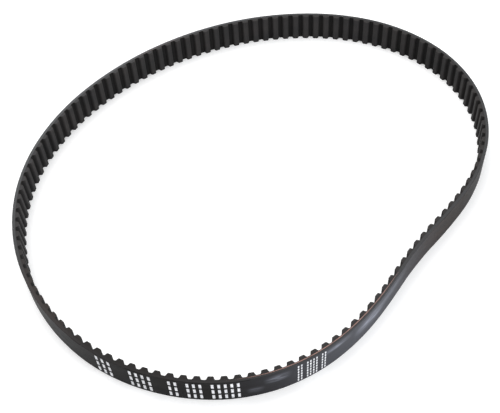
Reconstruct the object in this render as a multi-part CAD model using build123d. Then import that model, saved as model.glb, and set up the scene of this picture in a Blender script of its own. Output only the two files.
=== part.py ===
from build123d import *
import math
import os

import numpy as np

# Endless timing belt, standing on one cut side edge, teeth to the inside of the loop.
# Millimetres. +Z runs across the belt's width, and the plan view (X, Y) shows the shape of the loop.
#
# Places on the belt are given in belt coordinates:
#   along   distance along the pitch line, which is the line through the middle of the cords
#   depth   distance from the pitch line, positive towards the inside of the loop

# Driving dimensions: the tooth form
tooth_pitch = 9.525         # tooth to tooth along the pitch line
tooth_height = 2.7          # from the gap between two teeth to the tip
root_width = 6.12           # where the flanks would meet the gaps if the corners were sharp
flank_angle = 20.0          # degrees, each flank from the tooth's middle line
root_radius = 1.0
tip_radius = 1.0

# Driving dimensions: the layers, from the back to the teeth
belt_width = 25.4
back_depth = 1.95           # pitch line to the smooth back
cord_diameter = 0.8
cord_spacing = 1.25         # between neighbouring turns across the width
cord_cover = 0.086          # rubber between the cords and the facing
facing_thickness = 0.2      # woven facing on the teeth and in the gaps
side_cover = 0.35           # least rubber between the outermost cord and a cut side edge
ink_thickness = 0.05

# The free shape of the loop: arcs that run on smoothly into each other, anticlockwise seen from above.
# Each is (whole teeth, degrees that it turns), and the one negative turn is the shallow dent.
loop_arcs = [
    (10, 43.0), (7, 26.5), (5, 15.0), (8, 19.5), (16, 35.0), (7, 19.0), (21, 66.0), (12, 41.0),
    (8, 32.5), (4, 14.5), (4, 10.5), (3, 2.5), (5, -8.5), (4, 5.0), (4, 13.5), (6, 25.0),
]
first_heading = 87.6        # degrees from +X, where the first arc starts

# Printed marks on the back: plain bars in rows, in groups along the belt.
# Each is (node, first tooth, last tooth, rows, bars in each group of a row).
printed_marks = [
    ("maker_mark_bars", 77.25, 78.85, 3, [3]),
    ("size_mark_bars", 80.15, 82.15, 3, [4]),
    ("caution_mark_bars", 83.2, 88.7, 3, [2, 3, 5]),
    ("lot_mark_bars", 92.85, 95.4, 6, [2, 4, 2]),
]
mark_margin = 1.4           # side edge of the belt to the nearest row
row_fill = 0.68             # how much of a row's height its bars take
bar_fill = 0.42             # how much of a bar's share of the row it takes
group_gap = 0.9             # space between two groups, in bar shares

# Tolerances of the arithmetic, not of the belt
straight_turn = 1e-9        # radians, an arc that turns less than this is a straight line
same_place = 1e-6           # distances along the belt closer than this are one place
turn_nudge = 1e-6           # radians, used to find how each turn moves the loop's end
closing_rounds = 6

# Sizes that follow from the driving dimensions
tooth_count = sum(teeth for teeth, _ in loop_arcs)
land_depth = cord_diameter / 2 + cord_cover + facing_thickness
core_depth = land_depth - facing_thickness
flank = math.radians(flank_angle)


# ---- The loop ------------------------------------------------------------------------------

def point_from(arc, along, depth=0.0):
    """The point at a distance along one arc (x, y, heading, length, turn), at a depth."""
    x, y, heading, length, turn = arc
    here = heading + turn * along / length
    if abs(turn) < straight_turn:
        x += along * math.cos(heading)
        y += along * math.sin(heading)
    else:
        radius = length / turn
        x += radius * (math.sin(here) - math.sin(heading))
        y -= radius * (math.cos(here) - math.cos(heading))
    return x - depth * math.sin(here), y + depth * math.cos(here)


def lay_arcs(turns):
    """The arcs laid end to end, and how far the last end misses the first start: x, y, heading."""
    x, y, heading = 0.0, 0.0, math.radians(first_heading)
    arcs = []
    for (teeth, _), turn in zip(loop_arcs, turns):
        arcs.append((x, y, heading, teeth * tooth_pitch, turn))
        x, y = point_from(arcs[-1], teeth * tooth_pitch)
        heading += turn
    return arcs, np.array([x, y, heading - math.radians(first_heading) - 2 * math.pi])


def close_loop():
    """The arcs with each turn nudged, as little as possible overall, so that the loop closes."""
    turns = np.radians([turn for _, turn in loop_arcs])
    for _ in range(closing_rounds):
        miss = lay_arcs(turns)[1]
        nudged = [turns + turn_nudge * row for row in np.eye(len(turns))]
        slopes = [(lay_arcs(trial)[1] - miss) / turn_nudge for trial in nudged]
        turns = turns - np.linalg.pinv(np.array(slopes).T) @ miss
    return lay_arcs(turns)[0]


arcs = close_loop()
arc_starts = [sum(arc[3] for arc in arcs[:index]) for index in range(len(arcs))]


def arc_index(along):
    """Which arc a distance along the pitch line falls on."""
    return max(index for index, start in enumerate(arc_starts) if along >= start - same_place)


def place(along, depth):
    """The plan point at belt coordinates (along, depth)."""
    index = arc_index(along)
    return point_from(arcs[index], along - arc_starts[index], depth)


def edge_through(points):
    """A straight edge through two belt points, or an arc through three."""
    placed = [place(along, depth) for along, depth in points]
    if len(placed) == 2:
        return Edge.make_line(*placed)
    return Edge.make_three_point_arc(*placed)


def edges_along(start, end, depth):
    """Edges that follow the loop at one depth, broken only where one arc ends and the next begins."""
    joins = [at for at in arc_starts if start + same_place < at < end - same_place]
    stops = [start] + joins + [end]
    edges = []
    for begin, finish in zip(stops, stops[1:]):
        arc = arcs[arc_index(begin)]
        reach = begin - arc_starts[arc_index(begin)]
        ends = [point_from(arc, reach + share * (finish - begin), depth) for share in (0, 0.5, 1)]
        if abs(arc[4]) < straight_turn:
            edges.append(Edge.make_line(ends[0], ends[2]))
        else:
            edges.append(Edge.make_three_point_arc(*ends))
    return edges


def stand_up(outline, holes=(), height=belt_width, base=0.0):
    """The plan outline, given as edges, raised along +Z."""
    face = Face(Wire(outline), [Wire(hole) for hole in holes])
    return Pos(0, 0, base) * Solid.extrude(face, Vector(0, 0, height))


# ---- Cords and the rubber round them ---------------------------------------------------------

def cord_heights():
    """Heights of the cord's turns, evenly spaced and centred across the width."""
    room = belt_width - 2 * side_cover - cord_diameter
    turns = int(room / cord_spacing) + 1
    lowest = (belt_width - (turns - 1) * cord_spacing) / 2
    return [lowest + index * cord_spacing for index in range(turns)]


def spin_edges(arc, edges_at):
    """The faces that cross-section edges, drawn at the arc's start, sweep as they go along the arc."""
    x, y, heading, length, turn = arc
    inward = Vector(-math.sin(heading), math.cos(heading), 0)
    edges = edges_at(Vector(x, y, 0), inward)
    if abs(turn) < straight_turn:
        onward = Vector(math.cos(heading), math.sin(heading), 0) * length
        return [Face.extrude(edge, onward) for edge in edges]
    axis = Axis(Vector(x, y, 0) + inward * (length / turn), Vector(0, 0, math.copysign(1, turn)))
    return [Face.revolve(edge, math.degrees(abs(turn)), axis) for edge in edges]


def endless(edges_at):
    """A closed solid whose skin is the cross-section carried right round the loop."""
    faces = []
    for arc in arcs:
        faces += spin_edges(arc, edges_at)
    return Solid(Shell(faces))


def cord_ring(height):
    """One turn of a cord, right round the loop."""
    def circle(origin, inward):
        plane = Plane(origin + Vector(0, 0, height), x_dir=inward, z_dir=inward.cross(Vector(0, 0, 1)))
        return [Edge.make_circle(cord_diameter / 2, plane)]
    return endless(circle)


def grooved_layer(far_depth):
    """A rubber layer from the pitch line to far_depth, with half-round grooves that hold the cords."""
    radius = cord_diameter / 2
    bulge = math.copysign(radius, far_depth)

    def outline(origin, inward):
        def at(depth, height):
            return origin + inward * depth + Vector(0, 0, height)
        edges = []
        last = at(0, 0)
        for height in cord_heights():
            below, above = at(0, height - radius), at(0, height + radius)
            edges.append(Edge.make_line(last, below))
            edges.append(Edge.make_three_point_arc(below, at(bulge, height), above))
            last = above
        corners = [last, at(0, belt_width), at(far_depth, belt_width), at(far_depth, 0), at(0, 0)]
        return edges + [Edge.make_line(a, b) for a, b in zip(corners, corners[1:])]
    return endless(outline)


# ---- Teeth and their facing ------------------------------------------------------------------

def rounded_corner(before, corner, after, radius):
    """Start, middle and end of the arc that rounds a corner."""
    before, corner, after = Vector(*before), Vector(*corner), Vector(*after)
    back = (before - corner).normalized()
    on = (after - corner).normalized()
    half = math.radians(back.get_angle(on)) / 2
    middle = (back + on).normalized()
    touch = radius / math.tan(half)
    dip = radius / math.sin(half) - radius
    return [(p.X, p.Y) for p in (corner + back * touch, corner + middle * dip, corner + on * touch)]


def half_tooth(inset):
    """Root corner and tip corner of half a tooth, (from its middle, depth), inset from its face."""
    def on_flank(depth):
        return root_width / 2 - inset / math.cos(flank) - (depth - land_depth) * math.tan(flank)
    root = land_depth - inset
    tip = land_depth + tooth_height - inset
    return (on_flank(root), root), (on_flank(tip), tip)


def tooth_edges(middle, inset, root_arc):
    """Edges over one tooth, from root to root, with its gap ends left open."""
    root, tip = half_tooth(inset)
    gap = (tooth_pitch / 2, root[1])
    tip_round = rounded_corner(root, tip, (0, tip[1]), tip_radius - inset)
    if root_arc > 0:
        root_round = rounded_corner(gap, root, tip, root_arc)
        half = [root_round, [root_round[2], tip_round[0]], tip_round]
    else:
        half = [[root, tip_round[0]], tip_round]
    rise = [[(middle - along, depth) for along, depth in points] for points in half]
    fall = [[(middle + along, depth) for along, depth in reversed(points)] for points in reversed(half)]
    return rise + [[rise[-1][-1], fall[0][0]]] + fall


def toothed_line(inset, root_arc):
    """The whole toothed outline, as edges: each gap, then the tooth after it."""
    edges = []
    reach = 0.0
    for index in range(tooth_count):
        tooth = tooth_edges((index + 0.5) * tooth_pitch, inset, root_arc)
        depth = tooth[0][0][1]
        edges += edges_along(reach, tooth[0][0][0], depth)
        edges += [edge_through(points) for points in tooth]
        reach = tooth[-1][-1][0]
    return edges + edges_along(reach, tooth_count * tooth_pitch, land_depth - inset)


def tooth_core(index):
    """The rubber inside one tooth, standing on the cord bed."""
    tooth = tooth_edges((index + 0.5) * tooth_pitch, facing_thickness, 0)
    foot = edges_along(tooth[0][0][0], tooth[-1][-1][0], core_depth)
    return stand_up([edge_through(points) for points in tooth] + foot)


def facing():
    """The woven facing: one endless skin over every tooth and gap."""
    return stand_up(toothed_line(facing_thickness, 0), [toothed_line(0, root_radius)])


# ---- Printed marks -----------------------------------------------------------------------------

def bar_places(first, last, groups):
    """Start and end along the belt of each bar in a row."""
    shares = sum(groups) + group_gap * (len(groups) - 1)
    share = (last - first) / shares
    places = []
    at = first
    for count in groups:
        for index in range(count):
            start = at + (index + (1 - bar_fill) / 2) * share
            places.append((start, start + bar_fill * share))
        at += (count + group_gap) * share
    return places


def ink_bar(start, end, base, height):
    """One printed bar: a thin film on the back."""
    outer = edges_along(start, end, -back_depth - ink_thickness)
    inner = edges_along(start, end, -back_depth)
    ends = [edge_through([(at, -back_depth), (at, -back_depth - ink_thickness)]) for at in (start, end)]
    return stand_up(outer + inner + ends, height=height, base=base)


def printed_mark(first_tooth, last_tooth, rows, groups):
    """All the bars of one mark, row over row."""
    row = (belt_width - 2 * mark_margin) / rows
    places = bar_places(first_tooth * tooth_pitch, last_tooth * tooth_pitch, groups)
    bars = []
    for index in range(rows):
        base = mark_margin + (index + (1 - row_fill) / 2) * row
        bars += [ink_bar(start, end, base, row_fill * row) for start, end in places]
    return bars


# ---- The belt ----------------------------------------------------------------------------------

heights = cord_heights()
pieces = {
    "backing_rubber": [grooved_layer(-back_depth)],
    "cord_bed_rubber": [grooved_layer(core_depth)],
    "tension_cord_s": [cord_ring(height) for height in heights[0::2]],
    "tension_cord_z": [cord_ring(height) for height in heights[1::2]],
    "tooth_rubber": [tooth_core(index) for index in range(tooth_count)],
    "tooth_facing_fabric": [facing()],
}
for node, first_tooth, last_tooth, rows, groups in printed_marks:
    pieces[node] = printed_mark(first_tooth, last_tooth, rows, groups)

# The origin is the middle of the belt's plan box, at the side edge that it stands on.
middle = Compound([solid for solids in pieces.values() for solid in solids]).bounding_box().center()
os.makedirs("parts", exist_ok=True)
for node, solids in pieces.items():
    export_step(Compound([Pos(-middle.X, -middle.Y, 0) * solid for solid in solids]), f"parts/{node}.step")
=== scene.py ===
import math

import bmesh
import bpy
import numpy as np
from mathutils import Euler, Matrix, Vector


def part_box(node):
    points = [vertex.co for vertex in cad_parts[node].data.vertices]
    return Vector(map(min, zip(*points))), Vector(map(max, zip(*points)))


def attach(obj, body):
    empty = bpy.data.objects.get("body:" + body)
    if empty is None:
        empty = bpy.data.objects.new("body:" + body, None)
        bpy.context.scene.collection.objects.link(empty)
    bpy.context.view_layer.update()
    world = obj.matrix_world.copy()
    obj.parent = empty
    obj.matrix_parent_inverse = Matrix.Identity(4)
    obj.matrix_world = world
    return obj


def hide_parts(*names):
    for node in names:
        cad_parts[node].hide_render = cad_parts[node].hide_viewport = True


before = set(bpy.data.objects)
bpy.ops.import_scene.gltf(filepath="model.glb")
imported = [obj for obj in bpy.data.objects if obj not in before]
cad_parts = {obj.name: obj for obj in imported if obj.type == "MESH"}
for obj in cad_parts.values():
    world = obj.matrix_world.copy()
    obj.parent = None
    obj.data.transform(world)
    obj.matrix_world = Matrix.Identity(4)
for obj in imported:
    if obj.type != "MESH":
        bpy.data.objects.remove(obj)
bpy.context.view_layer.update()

# An endless timing belt standing on its side edge. Metres, in the frame of the CAD model.
# Places on the belt are (along, depth, height): along the pitch line, towards the inside of the
# loop from the pitch line, and across the width.
MM = 0.001

# ---- Sizes: the same driving dimensions as the CAD model ---------------------------------------
TOOTH_PITCH = 9.525 * MM
TOOTH_HEIGHT = 2.7 * MM
ROOT_WIDTH = 6.12 * MM
FLANK = math.radians(20.0)
ROOT_RADIUS = 1.0 * MM
TIP_RADIUS = 1.0 * MM
BELT_WIDTH = 25.4 * MM
BACK_DEPTH = 1.95 * MM
CORD_DIAMETER = 0.8 * MM
CORD_SPACING = 1.25 * MM
CORD_COVER = 0.086 * MM
FACING = 0.2 * MM
INK = 0.05 * MM
LAND_DEPTH = CORD_DIAMETER / 2 + CORD_COVER + FACING
CORE_DEPTH = LAND_DEPTH - FACING

# The free shape of the loop: (whole teeth, degrees of turn) for each arc, anticlockwise from above.
LOOP_ARCS = [
    (10, 43.0), (7, 26.5), (5, 15.0), (8, 19.5), (16, 35.0), (7, 19.0), (21, 66.0), (12, 41.0),
    (8, 32.5), (4, 14.5), (4, 10.5), (3, 2.5), (5, -8.5), (4, 5.0), (4, 13.5), (6, 25.0),
]
FIRST_HEADING = math.radians(87.6)
TURN_NUDGE = 1e-6             # radians, used to find how each turn moves the loop's end
CLOSING_ROUNDS = 6
TEETH = sum(teeth for teeth, _ in LOOP_ARCS)
LOOP = TEETH * TOOTH_PITCH

# Plain printed bars: (node, first tooth, last tooth, rows, bars in each group of a row).
PRINTED_MARKS = [
    ("maker_mark_bars", 77.25, 78.85, 3, [3]),
    ("size_mark_bars", 80.15, 82.15, 3, [4]),
    ("caution_mark_bars", 83.2, 88.7, 3, [2, 3, 5]),
    ("lot_mark_bars", 92.85, 95.4, 6, [2, 4, 2]),
]
MARK_MARGIN = 1.4 * MM        # side edge of the belt to the nearest row
ROW_FILL = 0.68               # how much of a row's height its bars take
BAR_FILL = 0.42               # how much of a bar's share of the row it takes
GROUP_GAP = 0.9               # space between two groups, in bar shares

# ---- Sizes that only the visual model has --------------------------------------------------------
ARRIS = 0.15 * MM             # the just broken corners of the back
BACK_RIM = 0.03 * MM          # how far each layer's cut edges lie inside the belt's side edges
BED_RIM = 0.04 * MM
CORE_RIM = 0.05 * MM
CORE_REACH = ROOT_WIDTH / 2 + ROOT_RADIUS * 0.7     # half of a tooth core's foot, at most
FACING_EDGE = 0.12 * MM       # from the facing's side edge to its next row of points
INK_CORNER = 0.22 * MM
INK_ROOT = 0.1 * MM           # how far the ink reaches into the uneven back
HAIR = 1e-9                   # metres, for telling which points lie on a surface

# The most that each surface sinks where it is uneven.
BACK_SINK = 0.09 * MM
CUT_SINK = 0.04 * MM
FACING_SAG = 0.07 * MM
FRAY = 0.05 * MM

# How finely the meshes are divided.
BAND_COLUMNS = TEETH * 4
BACK_ROWS = 18
FACING_ROWS = 12
CORNER_POINTS = 6
CENTRE_SAMPLES = 40           # to a tooth, for finding the loop's middle
CORD_SIDES = 12
SHARP = math.radians(35)      # edges that turn more than this stay sharp
FACING_SHARP = math.radians(50)
CUT_FACE = 0.75               # the least upright part of a cut edge's normal

# The cords. Each shows in the upper cut edge: (first tooth, last tooth, rise in the middle).
CORD_TURNS = 9.2
CORD_TOP = BELT_WIDTH - 0.045 * MM       # a cord just under the cut edge's rubber
CORD_FLUSH = BELT_WIDTH - 0.012 * MM     # where the knife slices a cord that stands proud
CORD_FLOOR = 0.05 * MM
S_CORD_SHOWS = (88.0, 104.5, 0.1 * MM)
Z_CORD_SHOWS = (34.0, 41.0, 0.04 * MM)

# Stretches that look different: (tooth in the middle, teeth either side).
HANDLED_BACK = (32.0, 34.0)
# Painted light: the back's stretch that faces the key light is a paler bluish grey.
PAINTED_LIGHT_BACK = (99.5, 13.5)
# A warmer, paler tone beside the dent: partly the rubber's tint, partly painted light.
WARM_AND_LIT_BACK = (110.0, 8.0)
# Painted light: the cut edges are paler round the far side, as if lit from above.
PAINTED_LIGHT_EDGE = (45.0, 28.0)
CLEAN_EDGE = (80.0, 20.0)
BROWN_EDGE = (71.0, 7.0)

# Painted highlights on the back, pale bluish streaks: (tooth, teeth either side, height, reach across,
# strength).
PAINTED_HIGHLIGHTS = [
    (89.7, 0.8, 9 * MM, 5 * MM, 0.35), (91.4, 1.2, 18 * MM, 6 * MM, 0.7), (96.5, 1.6, 20 * MM, 4 * MM, 0.9),
    (100.1, 2.2, 15 * MM, 9 * MM, 1.0), (103.0, 3.0, 17 * MM, 7 * MM, 0.4),
]

# ---- The studio's sizes ----------------------------------------------------------------------------
CAMERA_AT = (-0.01497, -0.47397, 0.56989)
CAMERA_DOWN = math.radians(54.01)
CAMERA_ROLL = math.radians(-4.79)
SENSOR_WIDTH = 36.0
LENS = 64.18
LENS_SHIFT = (0.0103, 0.0874)
NEAREST = 0.05                # the camera sees nothing closer
FLOOR_RADIUS = 30.0
FLOOR_SIDES = 96
FLOOR_GLOW = 0.25
WORLD_STRENGTH = 0.8

# Soft lights: (name, place, size, power in watts, colour).
SOFTBOXES = [
    ("key", (1.05, -0.8, 0.42), 0.6, 11.0, (0.93, 0.96, 1.0)),
    ("top", (-0.4, 0.5, 1.6), 1.2, 14.0, (1, 1, 1)),
    ("rim", (-1.0, 1.1, 0.55), 0.8, 7.0, (0.97, 0.98, 1.0)),
]


# ---- The loop ------------------------------------------------------------------------------------

def arc_points(arc, along, depth):
    """Plan points at distances along one arc (x, y, heading, length, turn), at a depth."""
    x, y, heading, length, turn = arc
    here = heading + turn * along / length
    radius = length / turn
    x = x + radius * (np.sin(here) - math.sin(heading))
    y = y - radius * (np.cos(here) - math.cos(heading))
    return x - depth * np.sin(here), y + depth * np.cos(here)


def lay_arcs(turns):
    """The arcs end to end, and how far the last end misses the first start: x, y, heading.
    The heading is scaled as the lengths are from millimetres, so the loop closes as in the CAD."""
    x, y, heading = 0.0, 0.0, FIRST_HEADING
    arcs = []
    for (teeth, _), turn in zip(LOOP_ARCS, turns):
        arcs.append((x, y, heading, teeth * TOOTH_PITCH, turn))
        x, y = arc_points(arcs[-1], teeth * TOOTH_PITCH, 0.0)
        heading += turn
    return arcs, np.array([x, y, (heading - FIRST_HEADING - 2 * math.pi) * MM])


def close_loop():
    """The arcs with each turn nudged as little as possible, so that the loop closes."""
    turns = np.radians([turn for _, turn in LOOP_ARCS])
    for _ in range(CLOSING_ROUNDS):
        miss = lay_arcs(turns)[1]
        nudged = [turns + TURN_NUDGE * row for row in np.eye(len(turns))]
        slopes = [(lay_arcs(trial)[1] - miss) / TURN_NUDGE for trial in nudged]
        turns = turns - np.linalg.pinv(np.array(slopes).T) @ miss
    return lay_arcs(turns)[0]


ARCS = close_loop()
ARC_STARTS = np.cumsum([0.0] + [arc[3] for arc in ARCS[:-1]])


def loop_points(along, depth):
    """Plan points, before the loop is centred, for arrays of belt coordinates."""
    along, depth = np.broadcast_arrays(np.asarray(along, float), np.asarray(depth, float))
    along = np.mod(along, LOOP)
    which = np.searchsorted(ARC_STARTS, along, side="right") - 1
    points = np.zeros(along.shape + (2,))
    for index, arc in enumerate(ARCS):
        here = which == index
        x, y = arc_points(arc, along[here] - ARC_STARTS[index], depth[here])
        points[here, 0] = x
        points[here, 1] = y
    return points


def plan_centre():
    """What to add to a loop point so that the back lies where the CAD's backing does."""
    samples = np.arange(TEETH * CENTRE_SAMPLES) * TOOTH_PITCH / CENTRE_SAMPLES
    back = loop_points(samples, -BACK_DEPTH)
    low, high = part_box("backing_rubber")
    target = (np.array(low[:2]) + np.array(high[:2])) / 2
    return target - (back.min(axis=0) + back.max(axis=0)) / 2


CENTRE = plan_centre()


def place(along, depth, height):
    """Points in the frame for arrays of belt coordinates."""
    along, depth, height = np.broadcast_arrays(along, depth, height)
    plan = loop_points(along, depth) + CENTRE
    return np.concatenate([plan, height[..., None]], axis=-1)


def ripple(along, height, size, seed):
    """A smooth unevenness between 0 and 1, the same each run. It adds waves that lean across the
    belt, each with half to one and a half times size crests round the loop."""
    waves = 6
    lean = 2.5
    turn = 2 * math.pi * along / LOOP
    rng = np.random.default_rng(seed)
    total = np.zeros(np.broadcast(along, height).shape)
    for _ in range(waves):
        crests = rng.integers(int(size * 0.5), int(size * 1.5) + 2)
        tilt = rng.uniform(-lean, lean)
        phase = rng.uniform(0, 2 * math.pi)
        total = total + np.sin(crests * turn + tilt * height / BELT_WIDTH * math.pi + phase)
    return 0.5 + total / (2 * waves)


# ---- Meshes ----------------------------------------------------------------------------------------

def finish_mesh(name, verts, faces, uvs, materials, sharp=SHARP):
    """An object from points, faces and the UV of each face corner."""
    mesh = bpy.data.meshes.new(name)
    mesh.from_pydata([tuple(v) for v in verts], [], [tuple(f) for f in faces])
    layer = mesh.uv_layers.new(name="belt")
    layer.data.foreach_set("uv", np.asarray(uvs, dtype=np.float32).ravel())
    for material in materials:
        mesh.materials.append(material)
    work = bmesh.new()
    work.from_mesh(mesh)
    bmesh.ops.recalc_face_normals(work, faces=work.faces)
    work.to_mesh(mesh)
    work.free()
    mesh.shade_smooth()
    mesh.set_sharp_from_angle(angle=sharp)
    piece = bpy.data.objects.new(name, mesh)
    bpy.context.scene.collection.objects.link(piece)
    return piece


def ring_mesh(name, points, u, v, materials, sharp=SHARP):
    """A closed ring of sections. points is (columns, rows, 3); u and v have one value more than
    columns and rows, in millimetres along the belt and round the section."""
    columns, rows = points.shape[:2]
    column, row = np.meshgrid(np.arange(columns), np.arange(rows), indexing="ij")
    column, row = column.ravel(), row.ravel()
    after, above = (column + 1) % columns, (row + 1) % rows
    faces = [column * rows + row, after * rows + row, after * rows + above, column * rows + above]
    corners = [(column, row), (column + 1, row), (column + 1, row + 1), (column, row + 1)]
    uvs = [np.stack([u[across], v[up]], axis=1) for across, up in corners]
    verts = points.reshape(-1, 3)
    return finish_mesh(name, verts, np.stack(faces, axis=1), np.stack(uvs, axis=1), materials, sharp)


def prisms_mesh(name, prisms, materials):
    """Flat-ended pieces in one mesh. Each is its two end rings of points and one ring of UVs."""
    verts, faces, uvs = [], [], []
    for ends, flat in prisms:
        first = len(verts)
        count = len(flat)
        for end in ends:
            verts += list(end)
        for side, order in ((0, range(count)), (1, range(count - 1, -1, -1))):
            faces.append([first + side * count + i for i in order])
            uvs += [flat[i] for i in order]
        for i in range(count):
            j = (i + 1) % count
            faces.append([first + i, first + j, first + count + j, first + count + i])
            uvs += [flat[i], flat[j], flat[j], flat[i]]
    return finish_mesh(name, verts, faces, uvs, materials)


def lengths(points):
    """Running length in millimetres along a closed row of points."""
    steps = np.linalg.norm(np.diff(np.vstack([points, points[:1]]), axis=0), axis=1)
    return np.concatenate([[0.0], np.cumsum(steps)]) / MM


def mark_cut_edges(piece):
    """Gives the faces that look up or down the second material, that of a cut edge."""
    for face in piece.data.polygons:
        if abs(face.normal.z) > CUT_FACE:
            face.material_index = 1


def band_places():
    """Distances along the belt of a plain band's columns, as a column of numbers."""
    return np.arange(BAND_COLUMNS)[:, None] * LOOP / BAND_COLUMNS


def band_mesh(name, section, depth, height, materials):
    """A plain band: a section (depth, height) carried round the loop, at the depths and heights given."""
    u = np.arange(BAND_COLUMNS + 1) * LOOP / BAND_COLUMNS / MM
    piece = ring_mesh(name, place(band_places(), depth, height), u, lengths(section), materials)
    mark_cut_edges(piece)
    return piece


def rubber_band(name, materials):
    """The backing: smooth back with its arrises just broken, and two cut edges."""
    low, high = BACK_RIM, BELT_WIDTH - BACK_RIM
    section = [(-BACK_DEPTH + ARRIS, low), (-BACK_DEPTH, low + ARRIS)]
    section += [(-BACK_DEPTH, h) for h in np.linspace(low + ARRIS, high - ARRIS, BACK_ROWS)[1:-1]]
    section += [(-BACK_DEPTH, high - ARRIS), (-BACK_DEPTH + ARRIS, high)]
    section += [(-BACK_DEPTH * share, high) for share in (0.66, 0.33, 0.0)]
    section += [(-BACK_DEPTH * share, low) for share in (0.0, 0.33, 0.66)]
    section = np.array(section)
    along = band_places()
    depth = np.repeat(section[None, :, 0], BAND_COLUMNS, axis=0)
    height = np.repeat(section[None, :, 1], BAND_COLUMNS, axis=0)
    on_back = depth < -BACK_DEPTH + HAIR
    depth = np.where(on_back, depth + BACK_SINK * ripple(along, height, 34, 3), depth)
    on_top = height > high - HAIR
    height = np.where(on_top, height - CUT_SINK * ripple(along, height, 90, 4), height)
    return band_mesh(name, section, depth, height, materials)


def cord_bed(name, materials):
    """The thin rubber layer between the cords and the facing, seen only at the cut edges."""
    low, high = BED_RIM, BELT_WIDTH - BED_RIM
    section = np.array([(0.0, low), (0.0, high), (CORE_DEPTH, high), (CORE_DEPTH, low)])
    return band_mesh(name, section, section[None, :, 0], section[None, :, 1], materials)


def round_corner(before, corner, after, radius):
    """Points along the arc that rounds a corner."""
    before, corner, after = (np.array(p, float) for p in (before, corner, after))
    back = (before - corner) / np.linalg.norm(before - corner)
    on = (after - corner) / np.linalg.norm(after - corner)
    half = math.acos(float(np.dot(back, on))) / 2
    middle = (back + on) / np.linalg.norm(back + on)
    centre = corner + middle * radius / math.sin(half)
    start = corner + back * radius / math.tan(half) - centre
    end = corner + on * radius / math.tan(half) - centre
    sweep = math.pi - 2 * half
    shares = np.linspace(0, 1, CORNER_POINTS)[:, None]
    blend = np.sin((1 - shares) * sweep) * start + np.sin(shares * sweep) * end
    return centre + blend / math.sin(sweep)


def tooth_profile(inset):
    """Points (from the tooth's middle, depth) from mid gap to mid gap, inset from the outer face."""
    def on_flank(depth):
        return ROOT_WIDTH / 2 - inset / math.cos(FLANK) - (depth - LAND_DEPTH) * math.tan(FLANK)
    root_depth = LAND_DEPTH - inset
    tip_depth = LAND_DEPTH + TOOTH_HEIGHT - inset
    root = (on_flank(root_depth), root_depth)
    tip = (on_flank(tip_depth), tip_depth)
    gap = (TOOTH_PITCH / 2, root_depth)
    root_arc = round_corner(gap, root, tip, ROOT_RADIUS + inset)
    tip_arc = round_corner(root, tip, (0, tip_depth), TIP_RADIUS - inset)
    land = np.linspace(gap, root_arc[0], 3)[:-1]
    rise = np.linspace(root_arc[-1], tip_arc[0], 4)[1:-1]
    crown = np.linspace(tip_arc[-1], (0, tip_depth), 3)[1:]
    half = np.vstack([land, root_arc, rise, tip_arc, crown])
    left = half * np.array([-1, 1])
    return np.vstack([left, half[::-1][1:-1]])


def tooth_middle(index):
    """Distance along the belt to the middle of a tooth, or of each tooth in an array."""
    return (index + 0.5) * TOOTH_PITCH


def toothed_columns(inset):
    """Belt coordinates of every column of the toothed outline, once round the loop."""
    profile = tooth_profile(inset)
    along = (tooth_middle(np.arange(TEETH))[:, None] + profile[None, :, 0]).ravel()
    depth = np.tile(profile[:, 1], TEETH)
    return along, depth


def facing_skin(name, materials):
    """The woven facing over every tooth and gap, one endless skin."""
    middle_rows = np.linspace(0, BELT_WIDTH, FACING_ROWS)[1:-1]
    heights = np.concatenate([[0.0, FACING_EDGE], middle_rows, [BELT_WIDTH - FACING_EDGE, BELT_WIDTH]])
    rows = len(heights)

    def across(outer, inner):
        """One value to a column, over the outer face's rows and then the two rows of the inner face."""
        return np.concatenate([np.repeat(outer[:, None], rows, 1), np.repeat(inner[:, None], 2, 1)], 1)

    outer_along, outer_depth = toothed_columns(0.0)
    inner_along, inner_depth = toothed_columns(FACING)
    along = across(outer_along, inner_along)
    depth = across(outer_depth, inner_depth)
    height = np.repeat(np.concatenate([heights, [BELT_WIDTH, 0.0]])[None, :], len(outer_along), 0)

    # The skin sags a little on the teeth, away from the side edges.
    raised = np.clip((depth - LAND_DEPTH) / TOOTH_HEIGHT, 0, 1)
    skin = np.zeros(along.shape, bool)
    skin[:, 1:rows - 1] = True
    depth = np.where(skin, depth - FACING_SAG * ripple(along, height, 150, 7) * raised, depth)

    # The upper cut edge is frayed.
    frayed = np.zeros(along.shape, bool)
    frayed[:, rows - 1:rows + 1] = True
    height = np.where(frayed, height - FRAY * ripple(along, height * 0, 700, 9), height)

    points = place(along, depth, height)
    u = lengths(points[:, 1])
    v = np.concatenate([heights, [BELT_WIDTH + FACING, 2 * BELT_WIDTH, 2 * BELT_WIDTH + FACING]]) / MM
    piece = ring_mesh(name, points, u, v, materials, FACING_SHARP)
    # How far up the tooth each point lies; the cloth uses it for painted shade in the gaps and for wear on
    # the tips.
    rise_map = piece.data.attributes.new("tooth_rise", "FLOAT", "POINT")
    rise_map.data.foreach_set("value", raised.ravel().astype(np.float32))
    mark_cut_edges(piece)
    return piece


def tooth_cores(name, materials):
    """The rubber inside each tooth, seen at the cut edges."""
    profile = tooth_profile(FACING)
    profile = profile[np.abs(profile[:, 0]) < CORE_REACH]
    prisms = []
    for index in range(TEETH):
        middle = tooth_middle(index)
        ends = [place(middle + profile[:, 0], profile[:, 1], height)
                for height in (CORE_RIM, BELT_WIDTH - CORE_RIM)]
        prisms.append((ends, [(middle / MM + a / MM, d / MM) for a, d in profile]))
    piece = prisms_mesh(name, prisms, materials)
    mark_cut_edges(piece)
    return piece


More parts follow.
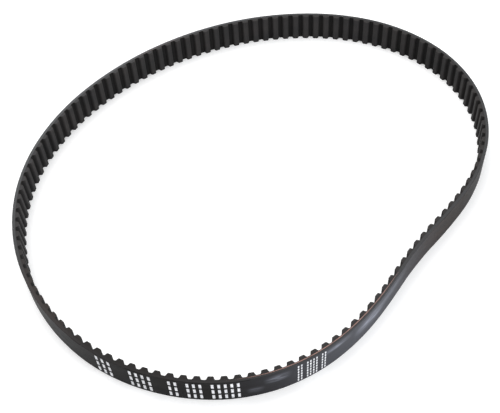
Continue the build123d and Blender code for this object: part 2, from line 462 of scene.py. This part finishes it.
def wound_cord(name, first_tooth, last_tooth, rise, material):
    """One cord, wound as a helix across the width. It shows in the upper cut edge from first_tooth to
    last_tooth, where it ends. There it stands higher, by rise in the middle, and the knife has sliced
    it flush."""
    end = last_tooth * TOOTH_PITCH
    start = end - CORD_TURNS * LOOP
    columns = int((end - start) / (TOOTH_PITCH / 2))
    along = np.linspace(start, end, columns)
    past_first = along - first_tooth * TOOTH_PITCH
    shown = np.clip(past_first / (end - first_tooth * TOOTH_PITCH), 0, 1)
    buried = np.minimum(past_first, 0) / LOOP * (2 * CORD_SPACING)
    axis = CORD_TOP - CORD_DIAMETER / 2 + buried + rise * np.sin(math.pi * shown)
    angle = np.arange(CORD_SIDES) * 2 * math.pi / CORD_SIDES
    radius = CORD_DIAMETER / 2
    depth = radius * np.cos(angle)[None, :]
    height = np.clip(axis[:, None] + radius * np.sin(angle)[None, :], CORD_FLOOR, CORD_FLUSH)
    verts = place(along[:, None], depth, height).reshape(-1, 3)
    faces, uvs = [], []
    for column in range(columns - 1):
        this, after = column * CORD_SIDES, (column + 1) * CORD_SIDES
        here, there = (along[column] - start) / MM, (along[column + 1] - start) / MM
        for side in range(CORD_SIDES):
            beside = (side + 1) % CORD_SIDES
            low, high = side / CORD_SIDES, (side + 1) / CORD_SIDES
            faces.append([this + side, after + side, after + beside, this + beside])
            uvs += [(here, low), (there, low), (there, high), (here, high)]
    for cap in (range(CORD_SIDES), range(len(verts) - 1, len(verts) - 1 - CORD_SIDES, -1)):
        faces.append(list(cap))
        uvs += [(0.0, 0.0)] * CORD_SIDES
    return finish_mesh(name, verts, faces, uvs, [material])


def bar_places(first, last, groups):
    """Start and end along the belt of each bar in a row."""
    shares = sum(groups) + GROUP_GAP * (len(groups) - 1)
    share = (last - first) / shares
    places = []
    at = first
    for count in groups:
        for index in range(count):
            start = at + (index + (1 - BAR_FILL) / 2) * share
            places.append((start, start + BAR_FILL * share))
        at += (count + GROUP_GAP) * share
    return places


def bar_outline(start, end, base, top):
    """A bar with rounded corners, as points (along, height)."""
    left, right = start + INK_CORNER, end - INK_CORNER
    low, high = base + INK_CORNER, top - INK_CORNER
    quarter = np.radians([0, 30, 60, 90])
    outline = []
    for along, height, spin in ((right, high, 0), (left, high, 90), (left, low, 180), (right, low, 270)):
        angle = quarter + math.radians(spin)
        outline += list(zip(along + INK_CORNER * np.cos(angle), height + INK_CORNER * np.sin(angle)))
    return np.array(outline)


def printed_mark(name, first, last, rows, groups, material):
    """A group of plain ink bars, each a thin film on the back."""
    row = (BELT_WIDTH - 2 * MARK_MARGIN) / rows
    prisms = []
    for index in range(rows):
        base = MARK_MARGIN + (index + (1 - ROW_FILL) / 2) * row
        for start, end in bar_places(first * TOOTH_PITCH, last * TOOTH_PITCH, groups):
            outline = bar_outline(start, end, base, base + ROW_FILL * row)
            ends = [place(outline[:, 0], depth, outline[:, 1])
                    for depth in (-BACK_DEPTH - INK, -BACK_DEPTH + INK_ROOT)]
            prisms.append((ends, [tuple(point / MM) for point in outline]))
    return prisms_mesh(name, prisms, [material])


# ---- Materials -------------------------------------------------------------------------------------

BLACK, WHITE = (0, 0, 0), (1, 1, 1)


def grey(value):
    return (value, value, value)


class Shader:
    """A node material with a few short ways to add to it."""

    def __init__(self, name, roughness, specular):
        self.material = bpy.data.materials.new(name)
        self.material.use_nodes = True
        self.nodes = self.material.node_tree.nodes
        self.links = self.material.node_tree.links
        self.surface = self.nodes["Principled BSDF"]
        self.surface.inputs["Roughness"].default_value = roughness
        self.surface.inputs["Specular IOR Level"].default_value = specular
        self.where = self.nodes.new("ShaderNodeTexCoord").outputs["UV"]

    def feed(self, socket, value):
        """Links a socket to another one, or sets it to a value."""
        if isinstance(value, bpy.types.NodeSocket):
            self.links.new(value, socket)
        else:
            socket.default_value = value

    def node(self, kind, inputs=None, **settings):
        made = self.nodes.new(kind)
        for key, value in settings.items():
            setattr(made, key, value)
        for key, value in (inputs or {}).items():
            self.feed(made.inputs[key], value)
        return made

    def scaled(self, along, across, turn=0.0):
        """Belt coordinates in millimetres, stretched."""
        inputs = {"Vector": self.where, "Scale": (along, across, 1.0), "Rotation": (0, 0, turn)}
        return self.node("ShaderNodeMapping", inputs).outputs[0]

    def near(self, axis, at, reach):
        """1 at a place along (axis 0) or across (axis 1) the belt, falling smoothly to 0 at reach."""
        place_on = self.node("ShaderNodeSeparateXYZ", {"Vector": self.where}).outputs[axis]
        away = self.math("ABSOLUTE", self.math("SUBTRACT", place_on, at / MM))
        limits = {"Value": away, "From Max": reach / MM, "To Min": 1.0, "To Max": 0.0}
        return self.node("ShaderNodeMapRange", limits, interpolation_type="SMOOTHSTEP").outputs[0]

    def near_tooth(self, tooth, reach):
        """1 at a tooth of the loop, falling smoothly to 0 at reach teeth away from it."""
        return self.near(0, tooth * TOOTH_PITCH, reach * TOOTH_PITCH)

    def noise(self, where, detail=4.0, roughness=0.55):
        inputs = {"Vector": where, "Scale": 1.0, "Detail": detail, "Roughness": roughness}
        return self.node("ShaderNodeTexNoise", inputs).outputs["Fac"]

    def ramp(self, fac, *stops):
        """A colour ramp through stops, each a place from 0 to 1 and a colour."""
        made = self.node("ShaderNodeValToRGB", {"Fac": fac})
        elements = made.color_ramp.elements
        while len(elements) < len(stops):
            elements.new(0.5)
        for element, (at, colour) in zip(elements, stops):
            element.position = at
            element.color = (*colour, 1.0)
        return made.outputs["Color"]

    def mix(self, fac, a, b, blend="MIX"):
        """From colour a to colour b by fac. Each is a socket, or a number or colour."""
        made = self.node("ShaderNodeMix", data_type="RGBA", blend_type=blend)
        self.feed(made.inputs[0], fac)
        for socket, colour in ((made.inputs[6], a), (made.inputs[7], b)):
            self.feed(socket, (*colour, 1.0) if isinstance(colour, tuple) else colour)
        return made.outputs[2]

    def math(self, operation, a, b=0.5):
        made = self.node("ShaderNodeMath", operation=operation)
        self.feed(made.inputs[0], a)
        self.feed(made.inputs[1], b)
        return made.outputs[0]

    def times(self, a, b):
        return self.math("MULTIPLY", a, b)

    def spread(self, fac, low, high):
        """fac from 0..1 to low..high."""
        return self.node("ShaderNodeMapRange", {"Value": fac, "To Min": low, "To Max": high}).outputs[0]

    def bump(self, height, strength, distance, below=None):
        inputs = {"Height": height, "Strength": strength, "Distance": distance}
        if below is not None:
            inputs["Normal"] = below
        return self.node("ShaderNodeBump", inputs).outputs[0]

    def set(self, **sockets):
        """Links the surface's sockets, and gives the finished material."""
        for name, value in sockets.items():
            self.links.new(value, self.surface.inputs[name.replace("_", " ")])
        return self.material


def back_rubber():
    """Ground black rubber with fine lines round the belt: dull where it has been handled, with painted
    light (a paler bluish grey) and painted highlights (pale bluish streaks) beside the printing, and warmer
    and paler at the dent, partly tint and partly painted light."""
    s = Shader("back_rubber", 0.42, 0.04)
    patches = s.noise(s.scaled(0.012, 0.03), 3.0)
    scuffs = s.noise(s.scaled(0.06, 0.3, 0.1), 4.0, 0.6)
    lines = s.noise(s.scaled(0.15, 9.0), 2.0)
    grain = s.noise(s.scaled(6.0, 6.0), 2.0)
    tone = s.ramp(patches, (0.35, (0.006, 0.005, 0.0048)), (0.65, (0.0068, 0.007, 0.0078)))
    scuff_and_highlight_streaks = s.ramp(scuffs, (0.35, grey(0.15)), (0.65, WHITE))
    handled = s.mix(scuff_and_highlight_streaks, (0.018, 0.018, 0.0195), (0.046, 0.046, 0.05))
    colour = s.mix(s.times(s.near_tooth(*HANDLED_BACK), 0.9), tone, handled)
    # Painted light: a paler bluish grey on the stretch facing the key light.
    colour = s.mix(s.times(s.near_tooth(*PAINTED_LIGHT_BACK), 0.85), colour, (0.058, 0.06, 0.07))
    # Painted highlights: pale bluish streaks beside the printing.
    for tooth, reach, height, across, strength in PAINTED_HIGHLIGHTS:
        highlight_spot = s.times(s.near_tooth(tooth, reach), s.near(1, height, across))
        colour = s.mix(s.times(s.times(highlight_spot, scuff_and_highlight_streaks), strength), colour, (0.25, 0.262, 0.31))
    # Warmer and paler beside the dent: partly tint, partly painted light.
    warm_and_lit = s.times(s.near_tooth(*WARM_AND_LIT_BACK), scuff_and_highlight_streaks)
    colour = s.mix(s.times(warm_and_lit, 0.6), colour, (0.05, 0.038, 0.034))
    uneven = s.math("ADD", s.times(scuffs, 0.7), s.times(lines, 0.3))
    normal = s.bump(grain, 0.25, 0.00005, s.bump(lines, 0.2, 0.00004))
    return s.set(Base_Color=colour, Roughness=s.spread(uneven, 0.3, 0.62), Normal=normal)


def cut_edge(name, dark, pale, painted_light_tone):
    """Rubber slit by a knife: matt, with fine marks, paler round the far side, which is painted light,
    nearly clean on the stretch with the printing and browner beside it."""
    s = Shader(name, 0.8, 0.2)
    marks = s.noise(s.scaled(2.5, 1.2, 0.5), 3.0)
    blotch = s.noise(s.scaled(0.05, 0.5), 3.0)
    colour = s.ramp(marks, (0.3, dark), (0.75, pale))
    colour = s.mix(s.times(blotch, 0.5), colour, (0.032, 0.027, 0.025))
    # Painted light: paler round the far side.
    colour = s.mix(s.times(s.near_tooth(*PAINTED_LIGHT_EDGE), 0.6), colour, painted_light_tone)
    colour = s.mix(s.times(s.near_tooth(*CLEAN_EDGE), 0.9), colour, (0.0135, 0.0115, 0.011))
    brown = s.times(s.times(s.near_tooth(*BROWN_EDGE), marks), 0.5)
    colour = s.mix(brown, colour, (0.062, 0.044, 0.038))
    normal = s.bump(marks, 0.5, 0.0001)
    return s.set(Base_Color=colour, Roughness=s.spread(marks, 0.62, 0.92), Normal=normal)


def weave_height(s, threads):
    """Height of a plain weave with so many threads in a millimetre."""
    parts = s.node("ShaderNodeSeparateXYZ", {"Vector": s.where})
    wave = 2 * math.pi * threads / 2
    along = s.math("SINE", s.times(parts.outputs[0], wave), 0.0)
    across = s.math("SINE", s.times(parts.outputs[1], wave), 0.0)
    return s.spread(s.times(along, across), 0.5, 1.0)


def facing_cloth():
    """Woven nylon, filled with rubber: charcoal and matt, with painted shade darkening it towards the gaps
    between the teeth, and a little paler on their tips from wear."""
    s = Shader("facing_cloth", 0.7, 0.12)
    s.surface.inputs["Sheen Weight"].default_value = 0.015
    s.surface.inputs["Sheen Roughness"].default_value = 0.5
    weave = weave_height(s, 2.2)
    fluff = s.noise(s.scaled(3.0, 3.0), 4.0)
    patch = s.noise(s.scaled(0.02, 0.05), 3.0)
    tone = s.ramp(patch, (0.35, (0.0135, 0.0133, 0.0138)), (0.65, (0.021, 0.0192, 0.0188)))
    thread = s.ramp(weave, (0.2, grey(0.5)), (0.9, grey(1.35)))
    colour = s.mix(1.0, tone, thread, "MULTIPLY")
    colour = s.mix(s.times(fluff, 0.25), colour, (0.033, 0.031, 0.0305))
    # Painted shade: darker towards the gaps between the teeth; the tips are a little paler from wear.
    rise_map = s.node("ShaderNodeAttribute", attribute_name="tooth_rise").outputs["Fac"]
    gap_shade_and_tip_wear = s.ramp(rise_map, (0.05, grey(0.28)), (0.5, grey(0.92)), (0.95, grey(1.15)))
    colour = s.mix(1.0, colour, gap_shade_and_tip_wear, "MULTIPLY")
    normal = s.bump(fluff, 0.2, 0.00006, s.bump(weave, 0.45, 0.00012))
    return s.set(Base_Color=colour, Roughness=s.spread(fluff, 0.62, 0.9), Normal=normal)


def facing_edge():
    """The cut edge of the facing: thread ends, a little paler and browner."""
    s = Shader("facing_edge", 0.9, 0.15)
    ends = s.noise(s.scaled(5.0, 5.0), 3.0)
    colour = s.ramp(ends, (0.3, (0.02, 0.0175, 0.017)), (0.75, (0.06, 0.053, 0.048)))
    normal = s.bump(ends, 0.6, 0.0001)
    return s.set(Base_Color=colour, Roughness=s.spread(ends, 0.75, 0.98), Normal=normal)


def cord_glass(name, deep, bright):
    """Twisted glass-fibre strands with a coloured coating, smeared with rubber in places."""
    s = Shader(name, 0.55, 0.4)
    turn_along = 5.0          # radians of twist to a millimetre of cord
    turn_round = 25.0         # and once round it, for about four strands
    parts = s.node("ShaderNodeSeparateXYZ", {"Vector": s.where})
    phase = s.math("ADD", s.times(parts.outputs[0], turn_along), s.times(parts.outputs[1], turn_round))
    twist = s.spread(s.math("SINE", phase, 0.0), 0.0, 1.0)
    dirt = s.noise(s.scaled(0.12, 1.0), 4.0)
    strands = s.ramp(twist, (0.1, deep), (0.8, bright))
    smear = s.ramp(dirt, (0.45, BLACK), (0.7, WHITE))
    colour = s.mix(s.times(smear, 0.55), strands, (0.05, 0.04, 0.038))
    normal = s.bump(twist, 0.6, 0.0001)
    return s.set(Base_Color=colour, Roughness=s.spread(dirt, 0.4, 0.75), Normal=normal)


def worn_ink():
    """White ink, thin and broken where it has rubbed off."""
    s = Shader("worn_ink", 0.5, 0.4)
    rubbed = s.noise(s.scaled(1.3, 1.3), 5.0, 0.65)
    left = s.ramp(rubbed, (0.36, BLACK), (0.46, WHITE))
    tone = s.noise(s.scaled(0.3, 0.3), 2.0)
    shade = s.ramp(tone, (0.3, (0.52, 0.53, 0.56)), (0.7, (0.8, 0.8, 0.82)))
    colour = s.mix(left, (0.06, 0.06, 0.065), shade)
    normal = s.bump(rubbed, 0.2, 0.00003)
    return s.set(Base_Color=colour, Roughness=s.spread(rubbed, 0.35, 0.65), Normal=normal)


# ---- The belt ---------------------------------------------------------------------------------------

def stand_for(piece, node):
    """Puts a piece on the belt's one body, in the place of a CAD node."""
    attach(piece, "root")
    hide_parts(node)


def build_belt():
    # The third colour of each cut edge is its painted light round the far side.
    edge = cut_edge("cut_backing", (0.03, 0.031, 0.033), (0.075, 0.077, 0.08), (0.11, 0.112, 0.116))
    core = cut_edge("cut_core", (0.018, 0.0175, 0.018), (0.042, 0.04, 0.04), (0.05, 0.05, 0.052))
    stand_for(rubber_band("backing_band", [back_rubber(), edge]), "backing_rubber")
    stand_for(cord_bed("cord_bed_band", [core, edge]), "cord_bed_rubber")
    stand_for(tooth_cores("tooth_cores", [core, core]), "tooth_rubber")
    cloth = [facing_cloth(), facing_edge()]
    stand_for(facing_skin("facing_skin", cloth), "tooth_facing_fabric")
    coat_plain_or_shaded = cord_glass("cord_coat_s", (0.26, 0.12, 0.095), (0.52, 0.31, 0.26))
    stand_for(wound_cord("wound_cord_s", *S_CORD_SHOWS, coat_plain_or_shaded), "tension_cord_s")
    # The Z cord's coat is the S coat darkened: painted shade for the cord on the side in shadow.
    coat_plain_or_shaded = cord_glass("cord_coat_z_shaded", (0.09, 0.045, 0.04), (0.20, 0.11, 0.10))
    stand_for(wound_cord("wound_cord_z", *Z_CORD_SHOWS, coat_plain_or_shaded), "tension_cord_z")
    ink = worn_ink()
    for node, first, last, rows, groups in PRINTED_MARKS:
        stand_for(printed_mark(node + "_ink", first, last, rows, groups, ink), node)


# ---- The studio ---------------------------------------------------------------------------------------

def add_to_scene(name, data):
    """A new object of the scene."""
    made = bpy.data.objects.new(name, data)
    bpy.context.scene.collection.objects.link(made)
    return made


def add_camera():
    """A camera at the photograph's viewing angle."""
    data = bpy.data.cameras.new("camera")
    data.sensor_width = SENSOR_WIDTH
    data.lens = LENS
    data.shift_x, data.shift_y = LENS_SHIFT
    data.clip_start = NEAREST
    camera = add_to_scene("camera", data)
    aim = Euler((math.pi / 2 - CAMERA_DOWN, 0, 0)).to_matrix() @ Matrix.Rotation(CAMERA_ROLL, 3, "Z")
    camera.matrix_world = Matrix.Translation(CAMERA_AT) @ aim.to_4x4()
    bpy.context.scene.camera = camera


def add_floor():
    """A wide pale disc under the belt, faintly bright by itself."""
    mesh = bpy.data.meshes.new("floor")
    rim = np.arange(FLOOR_SIDES) * 2 * math.pi / FLOOR_SIDES
    corners = [(FLOOR_RADIUS * math.cos(a), FLOOR_RADIUS * math.sin(a), 0.0) for a in rim]
    mesh.from_pydata(corners, [], [range(FLOOR_SIDES)])
    floor = add_to_scene("floor", mesh)
    material = bpy.data.materials.new("pale_floor")
    material.use_nodes = True
    surface = material.node_tree.nodes["Principled BSDF"]
    surface.inputs["Base Color"].default_value = (0.9, 0.9, 0.9, 1)
    surface.inputs["Emission Color"].default_value = (1, 1, 1, 1)
    surface.inputs["Emission Strength"].default_value = FLOOR_GLOW
    surface.inputs["Roughness"].default_value = 0.9
    surface.inputs["Specular IOR Level"].default_value = 0.1
    mesh.materials.append(material)


def add_softbox(name, at, size, power, colour):
    """A square soft light aimed at the middle of the loop."""
    data = bpy.data.lights.new(name, "AREA")
    data.size = size
    data.energy = power
    data.color = colour
    light = add_to_scene(name, data)
    light.location = at
    light.rotation_euler = (-Vector(at)).to_track_quat("-Z", "Y").to_euler()


def add_world():
    """Even white light from all round."""
    world = bpy.data.worlds.new("studio")
    world.use_nodes = True
    background = world.node_tree.nodes["Background"]
    background.inputs["Color"].default_value = (1, 1, 1, 1)
    background.inputs["Strength"].default_value = WORLD_STRENGTH
    bpy.context.scene.world = world


def add_studio():
    add_floor()
    for softbox in SOFTBOXES:
        add_softbox(*softbox)
    add_world()
    bpy.context.scene.view_settings.view_transform = "Standard"


add_camera()
build_belt()
add_studio()
